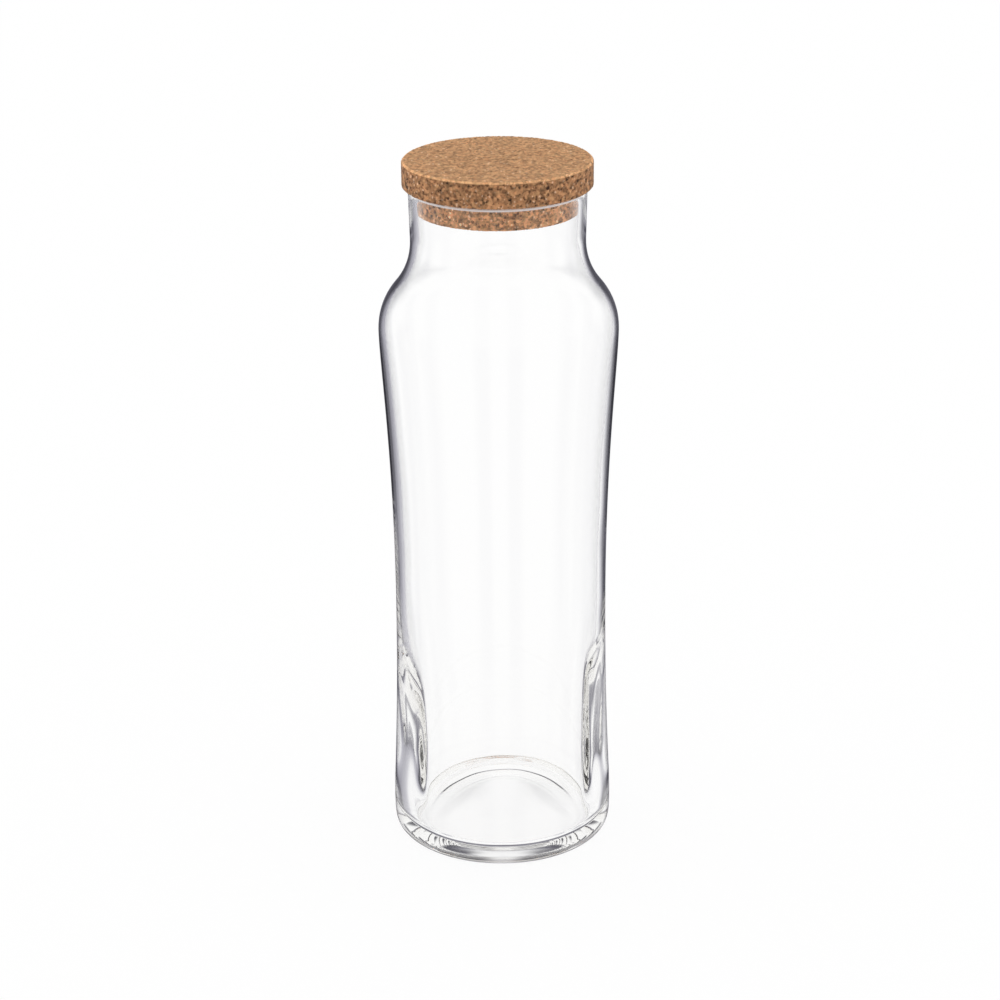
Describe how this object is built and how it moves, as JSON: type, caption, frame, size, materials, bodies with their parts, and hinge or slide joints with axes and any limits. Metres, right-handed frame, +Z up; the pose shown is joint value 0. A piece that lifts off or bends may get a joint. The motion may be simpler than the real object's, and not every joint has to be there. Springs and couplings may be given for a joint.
{
  "type": "bottle with cork stopper",
  "caption": "Tall clear glass carafe with a waisted body and wide neck, closed by a flanged cork stopper that lifts straight out.",
  "frame": {"origin": "on the surface that the bottle stands on, under the middle of its foot", "axes": "+Z up along the bottle's turning axis, out of its neck; X and Y lie in the surface it stands on"},
  "size_m": [0.0966, 0.0966, 0.29],
  "materials": {
    "clear_glass": "polished",
    "ground_cork": "matte"
  },
  "bodies": {
    "bottle": {"glass_bottle": "clear_glass"},
    "stopper": {"cork_stopper": "ground_cork"}
  },
  "joints": [
    {"name": "stopper_lift", "type": "slide", "parent": "bottle", "child": "stopper", "axis": [0, 0, 1], "range_m": [0, 0.06]}
  ]
}
